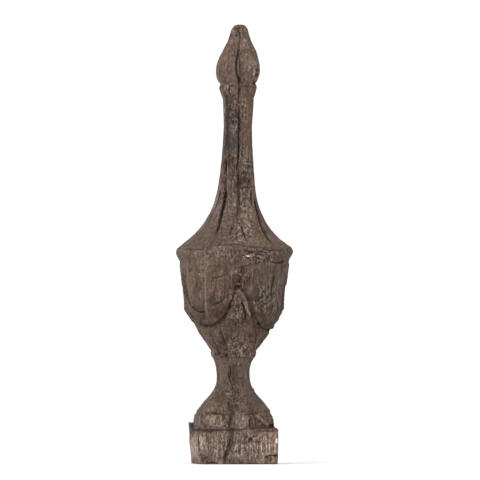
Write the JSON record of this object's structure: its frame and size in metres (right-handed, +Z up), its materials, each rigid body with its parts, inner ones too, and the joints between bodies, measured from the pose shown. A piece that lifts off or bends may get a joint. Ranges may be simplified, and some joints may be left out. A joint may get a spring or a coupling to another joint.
{
  "type": "finial",
  "caption": "Tall weathered wooden finial: square plinth, waisted foot, urn carved with cloth swags and a fluted spire ending in a bud, standing by its own weight.",
  "frame": {"origin": "centre of the plinth's flat underside", "axes": "+Z up the finial's axis, the front face looks along -Y, +X to the right of the front, the way the warped spire leans"},
  "size_m": [0.208, 0.208, 0.84],
  "materials": {
    "weathered_wood": "dry, cracked, grey-brown weathered wood"
  },
  "bodies": {
    "root": {"finial": "weathered_wood"}
  },
  "joints": []
}
